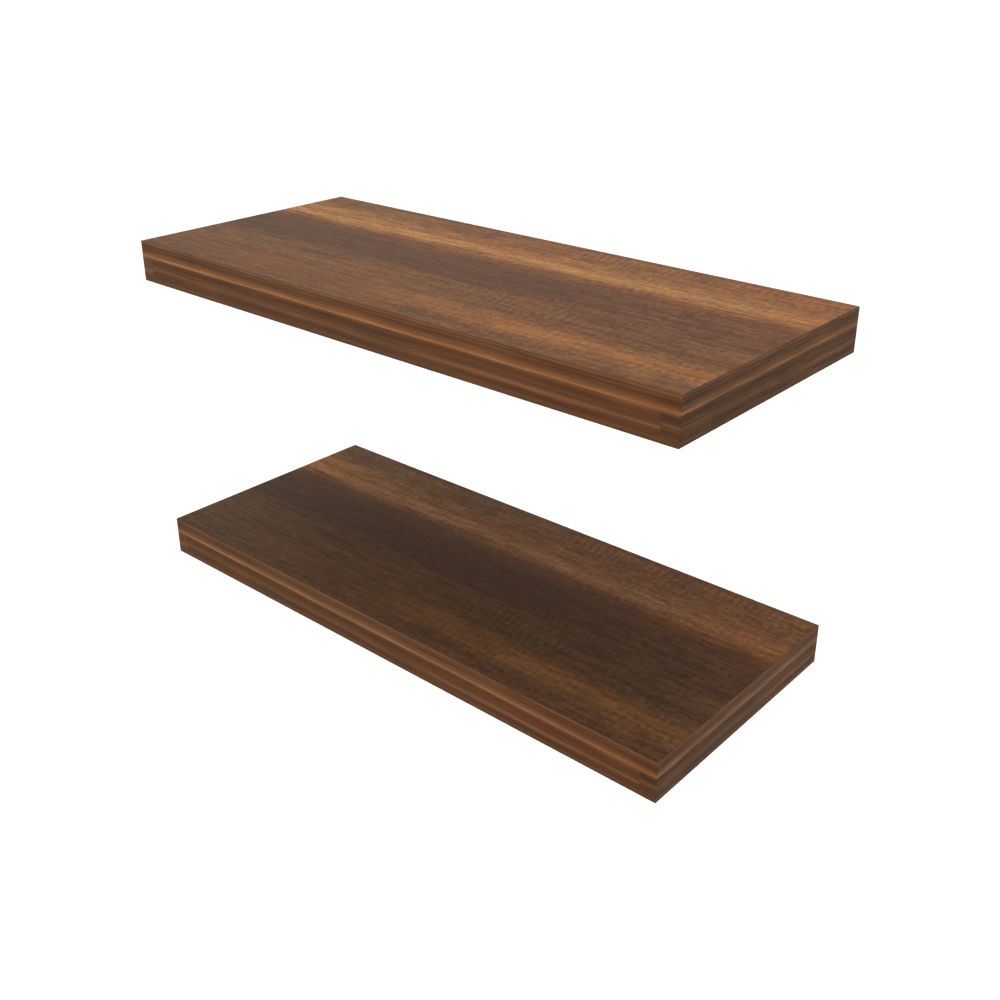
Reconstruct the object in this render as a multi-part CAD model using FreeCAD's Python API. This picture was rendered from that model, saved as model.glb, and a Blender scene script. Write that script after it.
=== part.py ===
import FreeCAD, Part
import math
import os

# A set of two floating wall shelves. Each shelf is a hollow board, built as a ladder frame
# of rails glued between a top panel and a bottom panel, that slides onto the two rods of a
# wall bracket hidden inside it. The origin is the centre of the upper bracket's wall face,
# with +X to the right, +Y into the wall and +Z up. Lengths are in millimetres.

# Board
shelf_length = 600.0
shelf_depth = 250.0
shelf_spacing = 292.0
top_thickness = 15.0
bottom_thickness = 5.0
rail_height = 18.0
side_rail_width = 15.0
front_rail_width = 15.0
middle_rail_width = 15.0
back_rail_width = 15.0
middle_rail_depth_share = 0.56
arris_ease = 0.15

# Dowels between the cross rails and the side rails
dowel_diameter = 6.0
dowel_length = 30.0
dowel_seat = 10.0
dowel_sides = 12

# Wall plate, in the recess behind the back rail
plate_thickness = 4.0
plate_end_clearance = 25.0
recess_clearance = 1.0
plate_corner_radius = 3.0
wall_hole_diameter = 5.5
wall_head_diameter = 10.5
slot_length = 12.0
slot_inset = 30.0
hole_inset = 160.0

# Rods, set through the plate and flush with its back
rod_diameter = 10.0
rod_inset = 70.0
rod_overreach = 16.5
rod_nose_chamfer = 1.5

# Bushes in the back rail
bush_wall = 1.5
bush_flange_thickness = 1.0
plate_to_bush_gap = 0.5

# Lock screws and their inserts in the middle rail
lock_diameter = 6.0
lock_recess = 2.0
lock_gap = 0.1
socket_width = 3.0
socket_depth = 3.0
insert_wall = 1.4
insert_cover = 0.7

# Fits, on the radius unless they are end gaps
running_clearance = 0.1
loose_clearance = 0.3
seat_clearance = 0.05
end_gap = 0.5
overrun = 1.0

# A full turn in degrees, and the sides of the screw socket
full_turn = 360.0
socket_sides = 6

# Directions
to_right = FreeCAD.Vector(1, 0, 0)
to_left = FreeCAD.Vector(-1, 0, 0)
to_front = FreeCAD.Vector(0, -1, 0)
upward = FreeCAD.Vector(0, 0, 1)
downward = FreeCAD.Vector(0, 0, -1)
centre = FreeCAD.Vector(0, 0, 0)

# Levels, from the bracket's mid-height
rail_top = rail_height / 2
rail_foot = -rail_height / 2
shelf_top = rail_top + top_thickness
shelf_foot = rail_foot - bottom_thickness

# Places across the length
half_length = shelf_length / 2
inner_half = half_length - side_rail_width
plate_half = inner_half - plate_end_clearance
plate_height = rail_height - 2 * recess_clearance
rod_x = plate_half - rod_inset
slot_x = plate_half - slot_inset
hole_x = plate_half - hole_inset

# Places across the depth, from the wall
back_rail_back = -(plate_thickness + plate_to_bush_gap + bush_flange_thickness)
back_rail_y = back_rail_back - back_rail_width / 2
middle_rail_y = -shelf_depth * middle_rail_depth_share
front_rail_y = -shelf_depth + front_rail_width / 2
rod_end = middle_rail_y - middle_rail_width / 2 - rod_overreach

# Radii that mating pieces share
dowel_radius = dowel_diameter / 2
rod_radius = rod_diameter / 2
bush_bore_radius = rod_radius + running_clearance
bush_radius = bush_bore_radius + bush_wall
bush_flange_radius = plate_height / 2
middle_bore_radius = rod_radius + loose_clearance
lock_radius = lock_diameter / 2
insert_bore_radius = lock_radius + running_clearance
insert_radius = insert_bore_radius + insert_wall

# Levels of the lock
insert_top = -middle_bore_radius - insert_cover
lock_tip = -rod_radius - lock_gap
lock_base = shelf_foot + lock_recess


def point(x, y, z):
    return FreeCAD.Vector(x, y, z)


def block(x_low, x_high, y_low, y_high, z_low, z_high):
    """Box between two corners."""
    corner = point(x_low, y_low, z_low)
    return Part.makeBox(x_high - x_low, y_high - y_low, z_high - z_low, corner)


def eased_block(x_low, x_high, y_low, y_high, z_low, z_high):
    """Box between two corners, with all its arrises eased."""
    board = block(x_low, x_high, y_low, y_high, z_low, z_high)
    return board.makeChamfer(arris_ease, board.Edges)


def placed(solid, start, axis):
    """A solid drawn along +Z from the centre, moved to start and turned along an axis."""
    solid.Placement = FreeCAD.Placement(start, FreeCAD.Rotation(upward, axis))
    return solid


def turned(profile, start, axis):
    """Solid turned about an axis through start, from (radius, distance) points."""
    outline = [point(radius, 0, distance) for radius, distance in profile]
    face = Part.Face(Part.makePolygon(outline + outline[:1]))
    return placed(face.revolve(centre, upward, full_turn), start, axis)


def prism(sides, radius, length, start, axis):
    """Straight prism with a regular section, its corners on a circle."""
    corners = []
    for side in range(sides):
        angle = math.radians(full_turn * side / sides)
        corners.append(point(radius * math.cos(angle), radius * math.sin(angle), 0))
    face = Part.Face(Part.makePolygon(corners + corners[:1]))
    return placed(face.extrude(upward * length), start, axis)


def hole(radius, start, axis, depth):
    """Round hole of a depth from a face, with an overrun out of that face."""
    return Part.makeCylinder(radius, depth + overrun, start - axis * overrun, axis)


# Dowels and their holes. They have few sides, because none of them shows.

def cross_rail_places():
    return (back_rail_y, middle_rail_y, front_rail_y)


def dowel(y, sign):
    """Dowel at one end of a cross rail, on the right for +1 and on the left for -1."""
    start = point(sign * (inner_half + dowel_seat), y, 0)
    return prism(dowel_sides, dowel_radius, dowel_length, start, to_left * sign)


def dowel_hole(y, sign, outward, reach):
    """Blind dowel hole from the joint between a cross rail and a side rail."""
    axis = to_right * sign * outward
    start = point(sign * inner_half, y, 0) - axis * overrun
    depth = reach + end_gap + overrun
    return prism(dowel_sides, dowel_radius + seat_clearance, depth, start, axis)


def make_frame_dowels():
    return Part.makeCompound([dowel(y, sign) for y in cross_rail_places() for sign in (-1, 1)])


# Panels and rails

def make_top_panel():
    return eased_block(-half_length, half_length, -shelf_depth, 0, rail_top, shelf_top)


def make_bottom_panel():
    """Panel with two holes for the lock inserts."""
    panel = eased_block(-half_length, half_length, -shelf_depth, 0, shelf_foot, rail_foot)
    depth = bottom_thickness + overrun
    holes = [hole(insert_radius + seat_clearance, lock_mouth(x), upward, depth) for x in (-rod_x, rod_x)]
    return panel.cut(holes)


def cross_rail(y, width):
    """Rail between the side rails, with a dowel hole in each end."""
    low, high = y - width / 2, y + width / 2
    rail = eased_block(-inner_half, inner_half, low, high, rail_foot, rail_top)
    return rail.cut([dowel_hole(y, sign, -1, dowel_length - dowel_seat) for sign in (-1, 1)])


def make_front_rail():
    return cross_rail(front_rail_y, front_rail_width)


def make_middle_rail():
    """Cross rail bored for the rods, with an insert hole up to each bore."""
    back = middle_rail_y + middle_rail_width / 2
    holes = []
    for x in (-rod_x, rod_x):
        holes.append(hole(middle_bore_radius, point(x, back, 0), to_front, middle_rail_width + overrun))
        holes.append(hole(insert_radius + seat_clearance, lock_mouth(x), upward, -shelf_foot))
    return cross_rail(middle_rail_y, middle_rail_width).cut(holes)


def make_back_rail():
    """Cross rail bored for the bushes."""
    holes = []
    for x in (-rod_x, rod_x):
        mouth = point(x, back_rail_back, 0)
        holes.append(hole(bush_radius + seat_clearance, mouth, to_front, back_rail_width + overrun))
    return cross_rail(back_rail_y, back_rail_width).cut(holes)


def make_side_rail(sign):
    """Side rail over the whole depth, on the right for +1 and on the left for -1."""
    low, high = sorted((sign * inner_half, sign * half_length))
    rail = eased_block(low, high, -shelf_depth, 0, rail_foot, rail_top)
    return rail.cut([dowel_hole(y, sign, 1, dowel_seat) for y in cross_rail_places()])


# Locks

def lock_mouth(x):
    """Where a lock's axis meets the underside."""
    return point(x, middle_rail_y, shelf_foot)


def lock_insert(x):
    """Threaded insert, flush with the underside."""
    length = insert_top - shelf_foot
    profile = [
        (insert_bore_radius, 0),
        (insert_radius, 0),
        (insert_radius, length),
        (insert_bore_radius, length),
    ]
    return turned(profile, lock_mouth(x), upward)


def make_lock_inserts():
    return Part.makeCompound([lock_insert(x) for x in (-rod_x, rod_x)])


def make_lock_screw(x):
    """Flat-ended grub screw with a hexagon socket, its tip just under the rod."""
    corner_radius = socket_width / 2 / math.cos(math.pi / socket_sides)
    base = point(x, middle_rail_y, lock_base)
    socket = prism(socket_sides, corner_radius, socket_depth + overrun, base - upward * overrun, upward)
    return Part.makeCylinder(lock_radius, lock_tip - lock_base, base, upward).cut(socket)


# Wall bracket

def slot_outline(length, width, y):
    """Round-ended slot along X, in a plane that faces the wall."""
    end_radius = width / 2
    straight = length / 2 - end_radius
    left_tip, right_tip = point(-length / 2, y, 0), point(length / 2, y, 0)
    upper_left, upper_right = point(-straight, y, end_radius), point(straight, y, end_radius)
    lower_left, lower_right = point(-straight, y, -end_radius), point(straight, y, -end_radius)
    edges = [
        Part.makeLine(upper_left, upper_right),
        Part.Arc(upper_right, right_tip, lower_right).toShape(),
        Part.makeLine(lower_right, lower_left),
        Part.Arc(lower_left, left_tip, upper_left).toShape(),
    ]
    return Part.Wire(edges)


def wall_slot(x):
    """Countersunk slot through the plate, for levelling."""
    widening = wall_head_diameter - wall_hole_diameter
    through = Part.Face(slot_outline(slot_length, wall_hole_diameter, overrun))
    through = through.extrude(to_front * (plate_thickness + 2 * overrun))
    foot = slot_outline(slot_length, wall_hole_diameter, widening / 2 - plate_thickness)
    mouth = slot_outline(slot_length + widening, wall_head_diameter, -plate_thickness)
    slot = through.fuse(Part.makeLoft([foot, mouth], True))
    slot.translate(point(x, 0, 0))
    return slot


def wall_hole(x):
    """Countersunk round hole through the plate."""
    small, large = wall_hole_diameter / 2, wall_head_diameter / 2
    profile = [
        (0, -overrun),
        (small, -overrun),
        (small, plate_thickness - (large - small)),
        (large, plate_thickness),
        (large, plate_thickness + overrun),
        (0, plate_thickness + overrun),
    ]
    return turned(profile, point(x, 0, 0), to_front)


def rod_seat(x):
    """Hole through the plate for a rod."""
    return hole(rod_radius + seat_clearance, point(x, 0, 0), to_front, plate_thickness + overrun)


def make_wall_plate():
    """Flat bar with rounded corners, slots, screw holes and seats for the rods."""
    half_height = plate_height / 2
    bar = block(-plate_half, plate_half, -plate_thickness, 0, -half_height, half_height)
    corners = [edge for edge in bar.Edges if edge.tangentAt(edge.FirstParameter).cross(to_front).Length == 0]
    bar = bar.makeFillet(plate_corner_radius, corners)
    cuts = []
    for sign in (-1, 1):
        cuts += [rod_seat(sign * rod_x), wall_slot(sign * slot_x), wall_hole(sign * hole_x)]
    return bar.cut(cuts)


def make_rod(x):
    """Rod from the plate's back, with a chamfered nose."""
    length = -rod_end
    profile = [
        (0, 0),
        (rod_radius, 0),
        (rod_radius, length - rod_nose_chamfer),
        (rod_radius - rod_nose_chamfer, length),
        (0, length),
    ]
    return turned(profile, point(x, 0, 0), to_front)


def rod_bush(x):
    """Bush in the back rail, with its flange towards the wall."""
    length = bush_flange_thickness + back_rail_width
    profile = [
        (bush_bore_radius, 0),
        (bush_flange_radius, 0),
        (bush_flange_radius, bush_flange_thickness),
        (bush_radius, bush_flange_thickness),
        (bush_radius, length),
        (bush_bore_radius, length),
    ]
    return turned(profile, point(x, back_rail_back + bush_flange_thickness, 0), to_front)


def make_rod_bushes():
    return Part.makeCompound([rod_bush(x) for x in (-rod_x, rod_x)])


# The whole set

def make_pieces():
    """All the pieces of one shelf, around its own bracket's centre, by name."""
    return {
        "top_panel": make_top_panel(),
        "bottom_panel": make_bottom_panel(),
        "front_rail": make_front_rail(),
        "middle_rail": make_middle_rail(),
        "back_rail": make_back_rail(),
        "left_rail": make_side_rail(-1),
        "right_rail": make_side_rail(1),
        "frame_dowels": make_frame_dowels(),
        "wall_plate": make_wall_plate(),
        "left_rod": make_rod(-rod_x),
        "right_rod": make_rod(rod_x),
        "rod_bushes": make_rod_bushes(),
        "lock_inserts": make_lock_inserts(),
        "left_lock_screw": make_lock_screw(-rod_x),
        "right_lock_screw": make_lock_screw(rod_x),
    }


def main():
    os.makedirs("parts", exist_ok=True)
    for shelf, drop in (("upper", 0), ("lower", shelf_spacing)):
        for name, shape in make_pieces().items():
            shape.translate(downward * drop)
            shape.exportStep("parts/" + shelf + "_" + name + ".step")


main()
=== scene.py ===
import math

import bpy
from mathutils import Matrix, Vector

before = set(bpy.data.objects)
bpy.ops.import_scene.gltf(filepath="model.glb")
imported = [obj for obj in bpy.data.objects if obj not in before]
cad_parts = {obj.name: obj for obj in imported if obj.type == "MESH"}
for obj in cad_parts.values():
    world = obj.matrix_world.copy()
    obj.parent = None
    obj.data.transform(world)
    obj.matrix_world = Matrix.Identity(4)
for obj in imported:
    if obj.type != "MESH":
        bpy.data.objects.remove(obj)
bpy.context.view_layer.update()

# Camera
CAMERA_PLACE = (0.68464, -0.86618, 0.30699)
CAMERA_TURN = math.radians(40.943)
CAMERA_TILT = math.radians(24.763)
CAMERA_SENSOR = 36.0
CAMERA_LENS = 43.44
CAMERA_SHIFT = (-0.0048, -0.0365)
CAMERA_NEAR = 0.01

# Light and floor
WHITE = (1.0, 1.0, 1.0)
AMBIENT = 0.13
PANEL_LIGHT = 0.315
PANEL_PLACE = (0.0, -0.125, 4.0)
PANEL_SIZE = (0.4, 0.3)
FLOOR_HEIGHT = -1.5
FLOOR_SIZE = 60.0
FLOOR_TONE = (0.82, 0.82, 0.82)
FLOOR_ROUGHNESS = 0.9
FLOOR_GLOW = 0.45

# Broad lamps: where they shine from, brightness, and width in degrees
LAMPS = {
    "sky_light": ((0.0, 0.0, 1.0), 0.32, 80.0),
    "front_light": ((0.0, -0.12, 1.0), 0.07, 20.0),
    "fill_light": ((-0.5, 0.4, 1.0), 0.11, 40.0),
    "key_light": ((0.40, -1.0, 0.15), 0.68, 40.0),
}

# Lengths of the boards, in millimetres
MM = 1000.0
DEPTH = 250.0
THICKNESS = 38.0
UPPER_TOP = 24.0
SPACING = 292.0
BETWEEN_BOARDS = -150.0
ROD_PLACE = 190.0

SHELVES = ("upper", "lower")

# Sockets of the node that mixes two colours
MIX_INPUTS = (0, 6, 7)
MIX_OUTPUT = 2

# Half way, which is also the mean of a noise
MIDDLE = 0.5


class Signal:
    """A number that varies over a surface, made by shader nodes."""

    def __init__(self, finish, socket):
        self.finish = finish
        self.socket = socket

    def __add__(self, other):
        return self.finish.math("ADD", self, other)

    def __radd__(self, other):
        return self.finish.math("ADD", other, self)

    def __sub__(self, other):
        return self.finish.math("SUBTRACT", self, other)

    def __rsub__(self, other):
        return self.finish.math("SUBTRACT", other, self)

    def __mul__(self, other):
        return self.finish.math("MULTIPLY", self, other)

    def __truediv__(self, other):
        return self.finish.math("DIVIDE", self, other)

    def __neg__(self):
        return self * -1.0

    def __abs__(self):
        return self.finish.math("ABSOLUTE", self)


class Finish:
    """One material, with short calls for the nodes that the finishes share."""

    def __init__(self, name):
        self.material = bpy.data.materials.new(name)
        self.material.use_nodes = True
        self.tree = self.material.node_tree
        self.tree.nodes.clear()
        self.shader = self.add("ShaderNodeBsdfPrincipled")
        output = self.add("ShaderNodeOutputMaterial")
        self.join(self.shader.outputs["BSDF"], output.inputs["Surface"])
        coordinates = self.add("ShaderNodeTexCoord")
        metres = self.parts(coordinates.outputs["Object"])
        self.x, self.y, self.z = [part * MM for part in metres]
        self.nx, self.ny, self.nz = self.parts(coordinates.outputs["Normal"])

    def add(self, kind, **settings):
        node = self.tree.nodes.new(kind)
        for name, value in settings.items():
            setattr(node, name, value)
        return node

    def join(self, value, socket):
        """Links a signal to the socket, or sets a plain number or colour on it."""
        if isinstance(value, Signal):
            value = value.socket
        if isinstance(value, bpy.types.NodeSocket):
            self.tree.links.new(value, socket)
        elif isinstance(value, tuple):
            socket.default_value = (*value, 1.0)
        else:
            socket.default_value = value

    def parts(self, vector):
        """The three parts of a place, a direction or a colour."""
        split = self.add("ShaderNodeSeparateXYZ")
        self.join(vector, split.inputs[0])
        return [Signal(self, socket) for socket in split.outputs]

    def math(self, operation, *values):
        node = self.add("ShaderNodeMath", operation=operation)
        for value, socket in zip(values, node.inputs):
            self.join(value, socket)
        return Signal(self, node.outputs[0])

    def least(self, a, b):
        return self.math("MINIMUM", a, b)

    def most(self, a, b):
        return self.math("MAXIMUM", a, b)

    def weigh(self, shares, *signals):
        """The first share, and each signal times its own share, added up."""
        total, *rest = shares
        for share, signal in zip(rest, signals):
            total = total + signal * share
        return total

    def smooth(self, value, low, high):
        """0 at low, 1 at high, with a soft ramp between."""
        node = self.add("ShaderNodeMapRange", interpolation_type="SMOOTHSTEP")
        self.join(value, node.inputs["Value"])
        self.join(low, node.inputs["From Min"])
        self.join(high, node.inputs["From Max"])
        return Signal(self, node.outputs["Result"])

    def hump(self, value, centre, core, fade):
        """1 within core of the centre, falling to 0 over the fade."""
        return 1.0 - self.smooth(abs(value - centre), core, core + fade)

    def noise(self, places, detail, roughness):
        vector = self.add("ShaderNodeCombineXYZ")
        for value, socket in zip(places, vector.inputs):
            self.join(value, socket)
        node = self.add("ShaderNodeTexNoise")
        self.join(vector.outputs[0], node.inputs["Vector"])
        self.join(1.0, node.inputs["Scale"])
        self.join(detail, node.inputs["Detail"])
        self.join(roughness, node.inputs["Roughness"])
        return Signal(self, node.outputs["Fac"])

    def grain(self, along, across, kind):
        """Noise drawn out along the grain, from 0 to 1."""
        length, width, seed, detail, roughness = kind
        return self.noise((along / length, across / width, seed), detail, roughness)

    def sway(self, along, across, kind):
        """Noise drawn out along the grain, about 0."""
        return self.grain(along, across, kind) - MIDDLE

    def field(self, x, y, z, kind):
        """Noise inside the solid, from 0 to 1."""
        *sizes, detail, roughness = kind
        return self.noise([place / size for place, size in zip((x, y, z), sizes)], detail, roughness)

    def ramp(self, value, stops, interpolation):
        node = self.add("ShaderNodeValToRGB")
        ramp = node.color_ramp
        ramp.interpolation = interpolation
        while len(ramp.elements) < len(stops):
            ramp.elements.new(MIDDLE)
        for element, (place, colour) in zip(ramp.elements, stops):
            element.position = place
            element.color = (*colour, 1.0)
        self.join(value, node.inputs["Fac"])
        return node.outputs["Color"]

    def mix(self, factor, a, b, mode="MIX"):
        node = self.add("ShaderNodeMix", data_type="RGBA", blend_type=mode)
        for value, number in zip((factor, a, b), MIX_INPUTS):
            self.join(value, node.inputs[number])
        return node.outputs[MIX_OUTPUT]

    def tint(self, factor, colour, tint):
        """The colour times the tint, as far as the factor goes."""
        return self.mix(factor, colour, tint, "MULTIPLY")

    def shade(self, colour, factor):
        """The colour made darker or lighter by the factor."""
        return self.tint(1.0, colour, factor)

    def bump(self, height, strength, distance):
        node = self.add("ShaderNodeBump")
        self.join(height, node.inputs["Height"])
        self.join(strength, node.inputs["Strength"])
        self.join(distance, node.inputs["Distance"])
        self.join(node.outputs[0], self.shader.inputs["Normal"])

    def set(self, name, value):
        self.join(value, self.shader.inputs[name])


# Colours of the printed walnut
RUSSET = (0.178, 0.073, 0.027)
HONEY = (0.250, 0.108, 0.037)
GOLD = (0.322, 0.153, 0.053)
BARK = (0.150, 0.060, 0.021)
RIM = (0.128, 0.053, 0.021)
PEAT = (0.110, 0.044, 0.017)
UMBER = (0.088, 0.036, 0.015)
TAN = (0.142, 0.060, 0.022)
NUT = (0.132, 0.055, 0.021)
AMBER = (0.230, 0.094, 0.030)

# Tints of the printed walnut
COOL = (0.88, 0.94, 0.98)
WARM = (1.12, 1.06, 0.98)
BRICK = (1.04, 0.98, 0.93)
STRAW = (0.97, 1.01, 1.04)
RUDDY = (1.00, 0.88, 0.85)

# The bands of the broad faces, as shares of the depth from the back
FACE_BANDS = (
    (0.00, RIM),
    (0.05, RUSSET),
    (0.13, RUSSET),
    (0.20, HONEY),
    (0.26, GOLD),
    (0.285, GOLD),
    (0.31, HONEY),
    (0.34, BARK),
    (0.385, PEAT),
    (0.44, UMBER),
    (0.57, UMBER),
    (0.67, TAN),
    (0.80, TAN),
    (0.86, BARK),
    (1.00, NUT),
)

# Marks in the grain: along, from the back, half length, half width, slope, and how much
# darker, or lighter where it is negative
FACE_MARKS = (
    (-245.0, 64.0, 70.0, 9.0, 0.00, -0.12),
    (-142.0, 171.0, 50.0, 5.0, 0.00, 0.48),
    (-180.0, 199.0, 100.0, 2.2, 0.01, 0.26),
    (-262.0, 79.0, 56.0, 2.2, 0.06, 0.40),
    (-225.0, 58.0, 90.0, 1.8, 0.00, 0.20),
    (-64.0, 74.5, 18.0, 2.0, -0.08, 0.28),
    (-110.0, 21.0, 90.0, 12.0, 0.00, 0.17),
    (-190.0, 190.0, 120.0, 8.0, 0.00, -0.14),
    (-232.0, 149.0, 60.0, 5.0, 0.00, -0.12),
    (5.0, 229.0, 66.0, 5.0, 0.00, -0.15),
    (-8.0, 38.0, 60.0, 1.8, 0.00, 0.24),
    (0.0, 162.0, 90.0, 1.7, -0.08, 0.24),
    (10.0, 158.5, 90.0, 1.5, -0.08, -0.14),
    (68.0, 51.0, 18.0, 2.0, 0.00, 0.30),
    (100.0, 191.0, 28.0, 4.5, 0.15, 0.30),
    (120.0, 30.0, 70.0, 5.0, 0.00, -0.18),
    (125.0, 48.0, 70.0, 8.0, 0.00, 0.14),
    (130.0, 44.0, 24.0, 2.4, 0.10, 0.24),
    (190.0, 176.0, 150.0, 30.0, 0.00, 0.20),
    (245.0, 128.0, 90.0, 30.0, 0.00, -0.16),
    (250.0, 235.0, 80.0, 12.0, 0.00, -0.20),
    (236.0, 79.5, 54.0, 1.7, 0.00, 0.46),
    (236.0, 82.4, 54.0, 1.6, 0.00, -0.20),
    (240.0, 119.5, 66.0, 1.5, 0.00, -0.18),
    (240.0, 123.5, 66.0, 1.7, 0.00, 0.20),
    (254.0, 142.0, 6.5, 3.4, 0.00, 0.60),
    (297.0, 67.0, 11.0, 2.6, 0.00, 0.40),
    (266.0, 90.0, 50.0, 6.0, 0.00, 0.18),
    (272.0, 107.0, 50.0, 14.0, 0.00, -0.30),
)
SPOT_FADE = (0.25, 1.0)

# Places with a cross figure: along, from the back, half length, half width, strength
FACE_FIGURES = (
    (150.0, 20.0, 230.0, 24.0, 1.0),
    (120.0, 168.0, 150.0, 44.0, 1.0),
    (-232.0, 168.0, 70.0, 24.0, 0.8),
    (150.0, 74.0, 110.0, 14.0, 0.5),
    (216.0, 107.0, 90.0, 8.0, 1.0),
    (262.0, 215.0, 80.0, 36.0, 0.8),
)
FIGURE_PITCH = 8.0
FIGURE_LEAN = 0.12
FIGURE_BEND = 2.0
FIGURE_LEAST = 0.34
FIGURE_WAVE = (1.0, -0.6)
FIGURE_BARS = (-0.8, 1.9)
BEADS_LEAST = 0.25

# Kinds of grain: length, width, seed, detail and roughness of the noise
DRIFT = (170.0, 70.0, 3.7, 2.0, 0.5)
RAGGED = (40.0, 5.0, 9.3, 3.0, 0.6)
HUES = (70.0, 8.0, 7.7, 3.0, 0.6)
BROAD = (110.0, 7.0, 8.1, 2.0, 0.5)
LINES = (28.0, 4.0, 1.3, 3.0, 0.6)
FLECKS = (6.0, 2.4, 4.4, 2.0, 0.6)
WAVES = (30.0, 12.0, 5.2, 2.0, 0.5)
PORES = (9.0, 0.5, 5.9, 2.0, 0.5)
BENDS = (60.0, 34.0, 2.2, 2.0, 0.5)
GAPS = (36.0, 9.0, 6.4, 2.0, 0.5)
BEADS = (90.0, 3.4, 7.1, 2.0, 0.5)
EDGE_WANDER = (150.0, 26.0, 2.9, 2.0, 0.5)
EDGE_BROAD = (110.0, 12.0, 7.5, 2.0, 0.5)
EDGE_LINES = (60.0, 1.6, 4.6, 3.0, 0.6)
EDGE_HAIRS = (90.0, 0.6, 3.1, 2.0, 0.6)

# Noise at which a look sets in and at which it is full
BRICK_HUES = (0.48, 0.66)
STRAW_HUES = (0.52, 0.34)
PORES_OPEN = (0.58, 0.72)
GAPS_CLOSE = (0.36, 0.54)
BEADS_SHOW = (0.36, 0.62)

# Depths of the grain on the broad faces
DRIFT_DEPTH = 7.0
RAGGED_DEPTH = 7.0
BROAD_DEPTH = 1.05
LINES_DEPTH = 1.45
FLECKS_DEPTH = 1.35
FIGURE_DEPTH = 0.26
WAVES_DEPTH = 3.0
PORES_DEPTH = 0.40
GRAIN_LEAST = 0.62
CONTRAST = (1.42, -0.22, -0.34, -0.36)
PALE_SHARE = 0.5

# How the rows of the broad faces lie: offset, and slope along the board
ROW_OFFSET = 1.3
ROW_SLOPE = 0.005

# Rows of the broad faces from the back: centre, half width and fade
GOLD_ROWS = (65.0, 10.0, 14.0)
AMBER_ROWS = (217.0, 7.0, 12.0)
PALE_ROWS = (42.0, 5.0, 9.0)
CALM_ROWS = (118.0, 18.0, 18.0)
EVEN_ROWS = (62.0, 18.0, 12.0)
RUDDY_ROWS = (66.0, 8.0, 10.0)

# Where a look of the broad faces sets in or ends, and where it is full or gone
AMBER_FROM = (-90.0, 90.0)
PALE_FROM = (40.0, 230.0)
COOL_FROM = (30.0, 230.0)
WARM_FROM = (60.0, 240.0)
WARM_TO_ROW = (138.0, 160.0)
RUDDY_FROM = (225.0, 265.0)
CALM_TO = (40.0, 190.0)
PLAIN_TO = (60.0, 200.0)
PLAIN_FROM_ROW = (80.0, 100.0)

# Tones of the edges
INK = (0.068, 0.027, 0.010)
SOOT = (0.086, 0.033, 0.011)
COCOA = (0.108, 0.046, 0.017)
SIENNA = (0.136, 0.051, 0.015)
HAZEL = (0.138, 0.057, 0.0185)
RUST = (0.200, 0.076, 0.024)
EARTH = (0.126, 0.053, 0.020)
TEAK = (0.144, 0.060, 0.023)
COPPER = (0.192, 0.087, 0.040)
EMBER = (0.262, 0.113, 0.043)
FLAME = (0.322, 0.146, 0.060)
NEAR_TINT = (1.04, 0.94, 0.86)
# Painted sheen: a cool cast on the side faces of the edges, standing in for the sheen the light
# gives them
SIDE_PAINTED_SHEEN = (0.99, 1.04, 1.08)

# The streaks of the edges: millimetres below the top, and the tone there
EDGE_STREAKS = (
    (0.0, EARTH),
    (0.6, EARTH),
    (1.6, COPPER),
    (2.4, TEAK),
    (3.2, SOOT),
    (4.0, COCOA),
    (4.8, TEAK),
    (5.6, COCOA),
    (6.4, SOOT),
    (8.0, COCOA),
    (9.5, HAZEL),
    (11.7, RUST),
    (12.9, EMBER),
    (14.0, FLAME),
    (15.1, EMBER),
    (16.0, SIENNA),
    (17.3, SOOT),
    (20.0, SOOT),
    (22.4, COCOA),
    (24.8, COCOA),
    (26.9, TEAK),
    (28.6, EARTH),
    (30.8, SOOT),
    (32.4, SOOT),
    (33.6, COCOA),
    (34.8, COCOA),
    (36.0, COCOA),
    (38.0, SOOT),
)
LEFT_END = (
    (15.0, TEAK),
    (18.0, EARTH),
    (20.0, COCOA),
    (23.5, COCOA),
    (25.0, EARTH),
    (27.0, COPPER),
    (28.5, TEAK),
    (31.0, COCOA),
    (35.0, SOOT),
)
RIGHT_END = (
    (15.0, RUST),
    (16.2, COCOA),
    (17.4, INK),
    (21.3, INK),
    (23.4, TEAK),
    (25.6, COCOA),
    (27.0, SOOT),
    (28.5, SOOT),
    (31.0, INK),
    (32.6, COCOA),
    (34.5, TEAK),
    (36.5, EARTH),
)
RAIL_START = 16.0

# How the streaks wander and lean, and the depths of their grain
WANDER_FROM_ROW = (3.0, 14.0)
WANDER_DEPTH = 1.4
LEAN_LENGTH = 90.0
LEAN_ROWS = (26.0, 3.0, 4.5)
EDGE_BROAD_DEPTH = 0.7
EDGE_LINES_DEPTH = 1.2
EDGE_HAIRS_DEPTH = 1.1
EDGE_GRAIN = (1.5, -0.5)
SIDE_STRETCH = 2.0

# Lighter and darker stretches of the streaks: rows below the top, places along, and depths
GLOW_ROWS = (27.0, 0.6, 2.2)
GLOW_FROM = (-60.0, 160.0)
GLOW_TO = (215.0, 265.0)
GLOW_GAIN = 0.42
GLOW_LOSS = 0.20
FLAME_ROWS = (13.2, 1.2, 1.8)
FLAME_STRONG = (-170.0, 60.0, 60.0)
FLAME_WEAK = (125.0, 25.0, 45.0)
FLAME_GAIN = 0.16
FLAME_LOSS = 0.20
CORNER_ROWS = (17.6, 0.6, 2.8)
CORNER_FROM = (236.0, 258.0)
CORNER_GAIN = 0.42
ENDS_FROM = (274.0, 290.0)
ENDS_TO_ROW = (31.0, 34.0)
ENDS_LOSS = 0.13
SMOKE_ROWS = (14.5, 0.6, 1.5)
SMOKE_FROM = (225.0, 295.0)
SMOKE_LOSS = 0.28
NEAR_FROM = (-60.0, 280.0)
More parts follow.
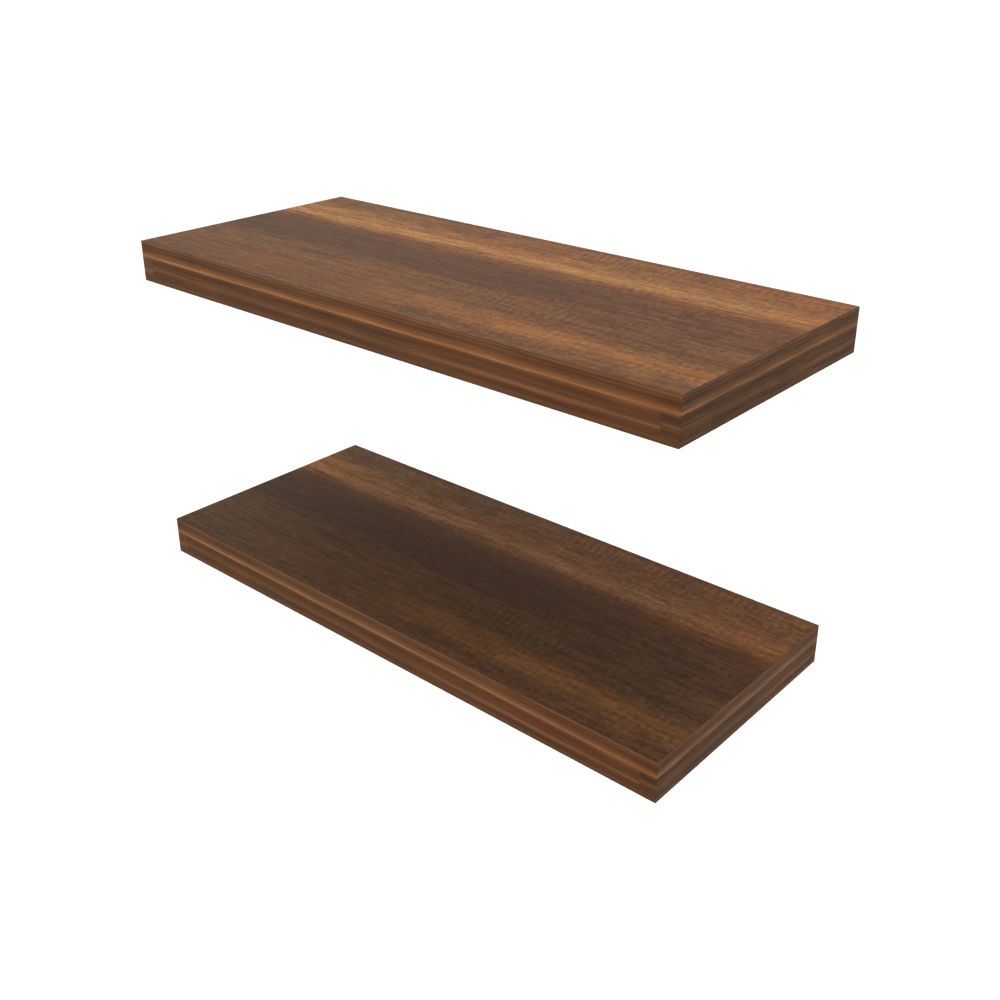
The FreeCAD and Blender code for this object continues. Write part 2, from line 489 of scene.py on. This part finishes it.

# Painted shade and sheen on the lower board: tints that set its print apart from the upper one's as
# a darker, greyer copy, standing in for the upper board's shade and the sheen on the lower one
LOWER_FACE_PAINTED_LIGHT = (0.92, 1.00, 1.11)
LOWER_GOLD_PAINTED_LIGHT = (0.99, 0.94, 1.03)
LOWER_GOLD_ROWS = (65.0, 16.0, 14.0)
LOWER_BRIGHT_FROM = (170.0, 230.0)
LOWER_FRONT_PAINTED_SHADE = (0.88, 0.88, 0.86)
LOWER_DARK_PAINTED_LIGHT = (1.00, 0.91, 0.50)
LOWER_DARK_TO_RED = (0.07, 0.14)
LOWER_DARK_TO_ROW = (32.0, 35.0)

# Surface of the boards
FLAT_NORMAL = (0.80, 0.90)
FACED_NORMAL = (0.50, 0.60)
BARE_ROUGHNESS = 0.88
PRINT_SMOOTHNESS = (0.24, -0.10, -0.10)
PRINT_GLOSS = 0.17
PRINT_RELIEF = 0.5
PRINT_BUMP = (0.25, 0.0001)


def on_lower(f):
    """1 on the lower board, 0 on the upper one."""
    return f.math("LESS_THAN", f.z, BETWEEN_BOARDS)


def below_top(f):
    """Height below the top of the board that the surface belongs to."""
    return UPPER_TOP - f.z - on_lower(f) * SPACING


def spot(f, row, along, place, half_length, half_width, slope=0.0):
    """1 in the middle of a long oval place in the grain, 0 outside it."""
    u = (f.x - along) / half_length
    v = (row - place - (f.x - along) * slope) / half_width
    return 1.0 - f.smooth(f.math("SQRT", u * u + v * v), *SPOT_FADE)


def figure(f, row):
    """Light cross marks of curly grain, strongest where the wood is figured."""
    phase = (f.x - row * FIGURE_LEAN) / FIGURE_PITCH + f.grain(f.x, row, BENDS) * FIGURE_BEND
    wave = f.math("SINE", phase * math.tau)
    bars = f.weigh(FIGURE_BARS, f.smooth(wave, *FIGURE_WAVE))
    strength = FIGURE_LEAST
    for *place, depth in FACE_FIGURES:
        strength = f.most(strength, spot(f, row, *place) * depth)
    broken = f.smooth(f.grain(f.x, row, GAPS), *GAPS_CLOSE)
    beads = f.smooth(f.grain(f.x, row, BEADS), *BEADS_SHOW)
    return bars * strength * broken * (beads + BEADS_LEAST)


def face_contrast(f, row):
    """How strongly the grain shows: least in the dark band's left part and the light bands."""
    calm = f.hump(row, *CALM_ROWS) * (1.0 - f.smooth(f.x, *CALM_TO))
    plain = f.smooth(row, *PLAIN_FROM_ROW) * (1.0 - f.smooth(f.x, *PLAIN_TO))
    light = f.hump(row, *GOLD_ROWS) + f.hump(row, *AMBER_ROWS)
    return f.weigh(CONTRAST, calm, plain, light)


def face_grain(f, row):
    """Streaks, lines, flecks and figure of a broad face, about 0, and the lines alone."""
    lines = f.grain(f.x, row, LINES)
    fine = (lines - MIDDLE) * LINES_DEPTH + f.sway(f.x, row, FLECKS) * FLECKS_DEPTH
    grain = fine * face_contrast(f, row) + f.sway(f.x, row, BROAD) * BROAD_DEPTH
    return grain + figure(f, row) * FIGURE_DEPTH, lines


def face_tint(f, row, colour):
    """The colour, cooler towards the left end and warmer towards the right end."""
    tinted = 1.0 - f.hump(row, *EVEN_ROWS)
    left = f.smooth(-f.x, *COOL_FROM) * tinted
    right = f.smooth(f.x, *WARM_FROM) * tinted * (1.0 - f.smooth(row, *WARM_TO_ROW))
    colour = f.tint(right, f.tint(left, colour, COOL), WARM)
    ruddy = f.smooth(f.x, *RUDDY_FROM) * f.hump(row, *RUDDY_ROWS)
    return f.tint(ruddy, colour, RUDDY)


def face_bands(f, row):
    """Bands of a broad face, with ragged borders and with their change along the board."""
    ragged = row + f.sway(f.x, row, RAGGED) * RAGGED_DEPTH
    colour = f.ramp(ragged / DEPTH, FACE_BANDS, "EASE")
    amber = f.smooth(f.x, *AMBER_FROM) * f.hump(ragged, *AMBER_ROWS)
    colour = f.mix(amber, colour, AMBER)
    pale = f.smooth(-f.x, *PALE_FROM) * f.hump(ragged, *PALE_ROWS)
    colour = face_tint(f, row, f.mix(pale * PALE_SHARE, colour, GOLD))
    hue = f.grain(f.x, row, HUES)
    colour = f.tint(f.smooth(hue, *BRICK_HUES), colour, BRICK)
    return f.tint(f.smooth(hue, *STRAW_HUES), colour, STRAW)


def face_decor(f):
    """Printed grain of a broad face, running along the board, with its lines and pores."""
    across = -f.y
    drift = f.sway(f.x, across, DRIFT)
    row = across + ROW_OFFSET + drift * DRIFT_DEPTH + f.x * ROW_SLOPE
    grain, lines = face_grain(f, row)
    colour = f.shade(face_bands(f, row), f.most(1.0 + grain, GRAIN_LEAST))
    wavy = across + f.sway(f.x, across, WAVES) * WAVES_DEPTH
    for *place, depth in FACE_MARKS:
        colour = f.shade(colour, 1.0 - spot(f, wavy, *place) * depth)
    pores = f.smooth(f.grain(f.x, row, PORES), *PORES_OPEN)
    colour = f.shade(colour, 1.0 - pores * PORES_DEPTH)
    return colour, lines, pores


def streaks(f, place, stops):
    """The colour at a place below the top, between the tones of the stops."""
    return f.ramp(place / THICKNESS, [(at / THICKNESS, tone) for at, tone in stops], "LINEAR")


def edge_place(f, along, level, start):
    """Height below the top, wandering as the streaks do."""
    wander = f.sway(along, level, EDGE_WANDER) * f.smooth(level, *WANDER_FROM_ROW) * WANDER_DEPTH
    lean = f.least(along, 0.0) / LEAN_LENGTH * f.hump(level, *LEAN_ROWS)
    return f.most(level + wander - lean, start)


def edge_light(f, along, place, on_front):
    """How light the streaks are along the edge, 1 being their own tone."""
    flame = f.hump(place, *FLAME_ROWS)
    glow = f.smooth(along, *GLOW_FROM) * GLOW_GAIN - f.smooth(along, *GLOW_TO) * GLOW_LOSS
    swell = f.hump(along, *FLAME_STRONG) * FLAME_GAIN - f.hump(along, *FLAME_WEAK) * FLAME_LOSS
    corner = f.hump(place, *CORNER_ROWS) * f.smooth(along, *CORNER_FROM) * on_front * CORNER_GAIN
    lit = f.hump(place, *GLOW_ROWS) * glow + flame * swell + corner
    ends = f.smooth(abs(along), *ENDS_FROM) * (1.0 - flame)
    ends = ends * (1.0 - f.smooth(place, *ENDS_TO_ROW)) * ENDS_LOSS
    smoke = f.hump(place, *SMOKE_ROWS) * f.smooth(-along, *SMOKE_FROM) * SMOKE_LOSS
    return 1.0 + lit - (ends + smoke) * on_front


def edge_grain(f, along, level, place):
    """Broad bands, lines and hairs of an edge, about 0."""
    grain = f.sway(along, level, EDGE_BROAD) * EDGE_BROAD_DEPTH
    grain = grain + f.sway(along, place, EDGE_LINES) * EDGE_LINES_DEPTH
    return grain + f.sway(along, place, EDGE_HAIRS) * EDGE_HAIRS_DEPTH


def edge_decor(f, along, level, start, on_front, end_stops):
    """Printed streaks of a board's edge, with their own streaks on the ends of the side rails, and a
    painted sheen on the side faces.
    """
    place = edge_place(f, along, level, start)
    colour = f.shade(streaks(f, place, EDGE_STREAKS), edge_light(f, along, place, on_front))
    colour = f.tint(f.smooth(along, *NEAR_FROM) * on_front, colour, NEAR_TINT)
    # Painted sheen on the side faces
    colour = f.tint(1.0 - on_front, colour, SIDE_PAINTED_SHEEN)
    if end_stops:
        colour = f.mix(on_front, colour, streaks(f, level, end_stops))
    grain = edge_grain(f, along, level, place) * f.weigh(EDGE_GRAIN, on_front)
    return f.shade(colour, 1.0 + grain)


def lower_painted_light(f, face, edge, level, on_front):
    """The colours of the broad faces and the edges, with the lower board's tints, which are painted
    shade and painted sheen.
    """
    lower = on_lower(f)
    gold = f.hump(-f.y, *LOWER_GOLD_ROWS)
    bright = gold * f.smooth(abs(f.x), *LOWER_BRIGHT_FROM)
    face = f.tint(lower * (1.0 - bright), face, LOWER_FACE_PAINTED_LIGHT)
    face = f.tint(lower * gold, face, LOWER_GOLD_PAINTED_LIGHT)
    front = lower * on_front
    edge = f.tint(front, edge, LOWER_FRONT_PAINTED_SHADE)
    red = f.parts(edge)[0]
    dark = (1.0 - f.smooth(red, *LOWER_DARK_TO_RED)) * (1.0 - f.smooth(level, *LOWER_DARK_TO_ROW))
    return face, f.tint(front * dark, edge, LOWER_DARK_PAINTED_LIGHT)


def facing(f, sides):
    """How squarely the surface faces the nearest of the sides."""
    found = -1.0
    for x, y, z in sides:
        found = f.most(found, f.nx * x + f.ny * y + f.nz * z)
    return found


# Pressed fibre of the boards' core: sizes, detail and roughness of the noise, and shares
CORE = (0.460, 0.280, 0.152)
CORE_FLECKS = (1.1, 1.1, 0.7, 3.0, 0.65)
CORE_CLOUDS = (22.0, 22.0, 9.0, 2.0, 0.5)
CORE_TONE = (0.60, 0.46, 0.34)


def raw_core(f):
    """Pressed fibre of the board's core."""
    flecks = f.field(f.x, f.y, f.z, CORE_FLECKS)
    clouds = f.field(f.x, f.y, f.z, CORE_CLOUDS)
    return f.shade(CORE, f.weigh(CORE_TONE, flecks, clouds))


def walnut(name, faced, start=0.0, end_stops=None):
    """A board with printed walnut on the faced sides and bare core elsewhere."""
    f = Finish(name)
    on_side = f.math("GREATER_THAN", abs(f.nx), abs(f.ny))
    on_front = 1.0 - on_side
    along = f.x + on_side * ((f.y + DEPTH / 2.0) * SIDE_STRETCH - f.x)
    level = below_top(f)
    face, lines, pores = face_decor(f)
    edge = edge_decor(f, along, level, start, on_front, end_stops)
    # Painted shade and sheen: the lower board gets a darker, greyer copy of the print
    face, edge = lower_painted_light(f, face, edge, level, on_front)
    printed = f.mix(f.smooth(abs(f.nz), *FLAT_NORMAL), edge, face)
    decor = f.smooth(facing(f, faced), *FACED_NORMAL)
    f.set("Base Color", f.mix(decor, raw_core(f), printed))
    f.set("Roughness", BARE_ROUGHNESS - decor * f.weigh(PRINT_SMOOTHNESS, lines, pores))
    f.set("Specular IOR Level", PRINT_GLOSS)
    f.bump(lines * PRINT_RELIEF - pores, *PRINT_BUMP)
    return f.material


# Sawn woods: light tone, dark tone, and width of a ring
PINE_MIDDLE = ((0.60, 0.42, 0.23), (0.46, 0.28, 0.12), 7.0)
PINE_BACK = ((0.58, 0.40, 0.22), (0.45, 0.27, 0.12), 6.0)
BEECH = ((0.55, 0.37, 0.22), (0.46, 0.29, 0.16), 2.0)
RING_BENDS = (160.0, 40.0, 40.0, 2.0, 0.5)
RING_BEND = 2.0
RING_LENGTH = 320.0
RING_DETAIL = 4.0
RING_ROUGHNESS = 0.6
RING_DARK = (0.38, 0.62)
FIBRES = (14.0, 0.5, 0.5, 2.0, 0.5)
TIMBER_TONE = (0.80, 0.36)
TIMBER_ROUGHNESS = (0.62, 0.20)
TIMBER_GLOSS = 0.25
TIMBER_BUMP = (0.30, 0.0001)


def timber(name, light, dark, ring):
    """Plain sawn wood with its rings along the board."""
    f = Finish(name)
    bend = f.field(f.x, f.y, f.z, RING_BENDS)
    places = (f.x / RING_LENGTH, f.y / ring + bend * RING_BEND, f.z / ring)
    rings = f.noise(places, RING_DETAIL, RING_ROUGHNESS)
    fibres = f.field(f.x, f.y, f.z, FIBRES)
    colour = f.mix(f.smooth(rings, *RING_DARK), light, dark)
    f.set("Base Color", f.shade(colour, f.weigh(TIMBER_TONE, fibres)))
    f.set("Roughness", f.weigh(TIMBER_ROUGHNESS, fibres))
    f.set("Specular IOR Level", TIMBER_GLOSS)
    f.bump(fibres, *TIMBER_BUMP)
    return f.material


# Plated steel, with rings of colour round the welds
PLATED = (0.42, 0.42, 0.43)
WELD_STRAW = (0.40, 0.29, 0.15)
WELD_BLUE = (0.20, 0.22, 0.32)
STRAW_RING = (6.4, 0.8, 1.6)
BLUE_RING = (8.4, 0.6, 1.6)
STRAW_SHARE = 0.55
BLUE_SHARE = 0.40
WELD_REACH = (2.0, 10.0)
STEEL_LINES = (60.0, 0.25, 0.25, 3.0, 0.6)
STEEL_CLOUDS = (40.0, 18.0, 18.0, 3.0, 0.5)
STEEL_TONE = (0.50, 0.50, 0.50)
STEEL_ROUGHNESS = (0.26, 0.14, 0.12)
STEEL_BUMP = (0.12, 0.00005)


def steel(name, lengthwise):
    """Plated steel with fine lines along its length and a faint tint round the welds."""
    f = Finish(name)
    run, side = (f.x, f.y) if lengthwise == "x" else (f.y, f.x)
    lines = f.field(run, side, f.z, STEEL_LINES)
    clouds = f.field(run, side, f.z, STEEL_CLOUDS)
    across = abs(f.x) - ROD_PLACE
    height = f.z + on_lower(f) * SPACING
    out = f.math("SQRT", across * across + height * height)
    near = 1.0 - f.smooth(-f.y, *WELD_REACH)
    colour = f.mix(f.hump(out, *STRAW_RING) * near * STRAW_SHARE, PLATED, WELD_STRAW)
    colour = f.mix(f.hump(out, *BLUE_RING) * near * BLUE_SHARE, colour, WELD_BLUE)
    f.set("Base Color", f.shade(colour, f.weigh(STEEL_TONE, lines, clouds)))
    f.set("Metallic", 1.0)
    f.set("Roughness", f.weigh(STEEL_ROUGHNESS, lines, clouds))
    f.bump(lines, *STEEL_BUMP)
    return f.material


# Turned metals: bright tone, dull tone, and roughness
BRASS = ((0.72, 0.52, 0.22), (0.58, 0.40, 0.16), 0.26)
BLACK_STEEL = ((0.045, 0.045, 0.048), (0.075, 0.072, 0.070), 0.34)
TURNING = (3.0, 3.0, 0.12, 2.0, 0.5)
WEAR = (2.5, 2.5, 2.5, 3.0, 0.5)
WEAR_DULL = (0.35, 0.65)
TURNING_ROUGHNESS = 0.14
WEAR_ROUGHNESS = 0.08
TURNING_BUMP = (0.15, 0.00004)


def metal(name, bright, dull, rough):
    """Turned metal with a worn, uneven surface."""
    f = Finish(name)
    turning = f.field(f.x, f.y, f.z, TURNING)
    wear = f.field(f.x, f.y, f.z, WEAR)
    f.set("Base Color", f.mix(f.smooth(wear, *WEAR_DULL), bright, dull))
    f.set("Metallic", 1.0)
    f.set("Roughness", rough + turning * TURNING_ROUGHNESS + wear * WEAR_ROUGHNESS)
    f.bump(turning, *TURNING_BUMP)
    return f.material


# Moulded plastic
NYLON = (0.70, 0.69, 0.64)
EROSION = (0.35, 0.35, 0.35, 2.0, 0.5)
PLASTIC_CLOUDS = (6.0, 6.0, 6.0, 2.0, 0.5)
PLASTIC_TONE = (0.88, 0.14, 0.08)
PLASTIC_ROUGHNESS = (0.40, 0.16)
PLASTIC_BUMP = (0.12, 0.00005)


def moulding(name, colour):
    """Moulded plastic with a faint eroded texture."""
    f = Finish(name)
    erosion = f.field(f.x, f.y, f.z, EROSION)
    clouds = f.field(f.x, f.y, f.z, PLASTIC_CLOUDS)
    f.set("Base Color", f.shade(colour, f.weigh(PLASTIC_TONE, clouds, erosion)))
    f.set("Roughness", f.weigh(PLASTIC_ROUGHNESS, erosion))
    f.bump(erosion, *PLASTIC_BUMP)
    return f.material


# Sides of a board
UP = (0, 0, 1)
DOWN = (0, 0, -1)
FRONT = (0, -1, 0)
LEFT = (-1, 0, 0)
RIGHT = (1, 0, 0)

rod_steel = steel("rod_steel", "y")
lock_black = metal("lock_black", *BLACK_STEEL)

FINISHES = {
    "top_panel": walnut("walnut_top", (UP, FRONT, LEFT, RIGHT)),
    "bottom_panel": walnut("walnut_bottom", (DOWN, FRONT, LEFT, RIGHT)),
    "front_rail": walnut("walnut_front", (FRONT,), RAIL_START),
    "left_rail": walnut("walnut_left", (FRONT, LEFT), RAIL_START, LEFT_END),
    "right_rail": walnut("walnut_right", (FRONT, RIGHT), RAIL_START, RIGHT_END),
    "middle_rail": timber("pine_middle", *PINE_MIDDLE),
    "back_rail": timber("pine_back", *PINE_BACK),
    "frame_dowels": timber("beech", *BEECH),
    "wall_plate": steel("plate_steel", "x"),
    "left_rod": rod_steel,
    "right_rod": rod_steel,
    "rod_bushes": moulding("bush_plastic", NYLON),
    "lock_inserts": metal("insert_brass", *BRASS),
    "left_lock_screw": lock_black,
    "right_lock_screw": lock_black,
}


def dress():
    """Gives every node of both boards its finish."""
    for shelf in SHELVES:
        for name, material in FINISHES.items():
            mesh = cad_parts[shelf + "_" + name].data
            mesh.materials.clear()
            mesh.materials.append(material)


def show(item):
    """Puts a new object into the scene."""
    bpy.context.scene.collection.objects.link(item)


def background_rays(tree):
    """1 for the rays that look at the background, straight or by a mirror or glass."""
    path = tree.nodes.new("ShaderNodeLightPath")
    seen = path.outputs["Is Camera Ray"]
    for name in ("Is Glossy Ray", "Is Transmission Ray"):
        either = tree.nodes.new("ShaderNodeMath")
        either.operation = "MAXIMUM"
        tree.links.new(seen, either.inputs[0])
        tree.links.new(path.outputs[name], either.inputs[1])
        seen = either.outputs[0]
    return seen


def add_floor():
    half = FLOOR_SIZE / 2.0
    mesh = bpy.data.meshes.new("floor")
    corners = [(-half, -half, 0), (half, -half, 0), (half, half, 0), (-half, half, 0)]
    mesh.from_pydata(corners, [], [(0, 1, 2, 3)])
    floor = bpy.data.objects.new("floor", mesh)
    floor.location = (0, 0, FLOOR_HEIGHT)
    show(floor)
    f = Finish("pale_floor")
    f.set("Base Color", FLOOR_TONE)
    f.set("Roughness", FLOOR_ROUGHNESS)
    f.set("Specular IOR Level", 0.0)
    f.set("Emission Color", WHITE)
    f.set("Emission Strength", Signal(f, background_rays(f.tree)) * FLOOR_GLOW)
    mesh.materials.append(f.material)


def add_world():
    world = bpy.data.worlds.new("studio")
    bpy.context.scene.world = world
    world.use_nodes = True
    tree = world.node_tree
    back = tree.nodes["Background"]
    back.inputs["Color"].default_value = (*WHITE, 1.0)
    level = tree.nodes.new("ShaderNodeMapRange")
    level.inputs["To Min"].default_value = AMBIENT
    level.inputs["To Max"].default_value = 1.0
    tree.links.new(background_rays(tree), level.inputs["Value"])
    tree.links.new(level.outputs["Result"], back.inputs["Strength"])


def add_panel(name, place, level):
    """A lamp panel that looks down, level being the brightness it gives white boards below."""
    lamp = bpy.data.lights.new(name, "AREA")
    lamp.shape = "RECTANGLE"
    lamp.size, lamp.size_y = PANEL_SIZE
    lamp.energy = level * (math.pi * place[2]) ** 2
    panel = bpy.data.objects.new(name, lamp)
    panel.location = place
    show(panel)


def add_sun(name, source, level, width):
    """A broad soft lamp, level being the brightness it gives a white surface facing it."""
    lamp = bpy.data.lights.new(name, "SUN")
    lamp.energy = level * math.pi
    lamp.angle = math.radians(width)
    sun = bpy.data.objects.new(name, lamp)
    sun.rotation_euler = Vector(source).to_track_quat("Z", "Y").to_euler()
    show(sun)


def add_camera():
    lens = bpy.data.cameras.new("camera")
    lens.sensor_width = CAMERA_SENSOR
    lens.lens = CAMERA_LENS
    lens.shift_x, lens.shift_y = CAMERA_SHIFT
    lens.clip_start = CAMERA_NEAR
    camera = bpy.data.objects.new("camera", lens)
    camera.location = CAMERA_PLACE
    camera.rotation_euler = (math.pi / 2.0 - CAMERA_TILT, 0.0, CAMERA_TURN)
    show(camera)
    bpy.context.scene.camera = camera


dress()
add_floor()
add_world()
add_panel("panel_light", PANEL_PLACE, PANEL_LIGHT)
for lamp_name, (source, brightness, width) in LAMPS.items():
    add_sun(lamp_name, source, brightness, width)
add_camera()
bpy.context.scene.view_settings.view_transform = "Standard"
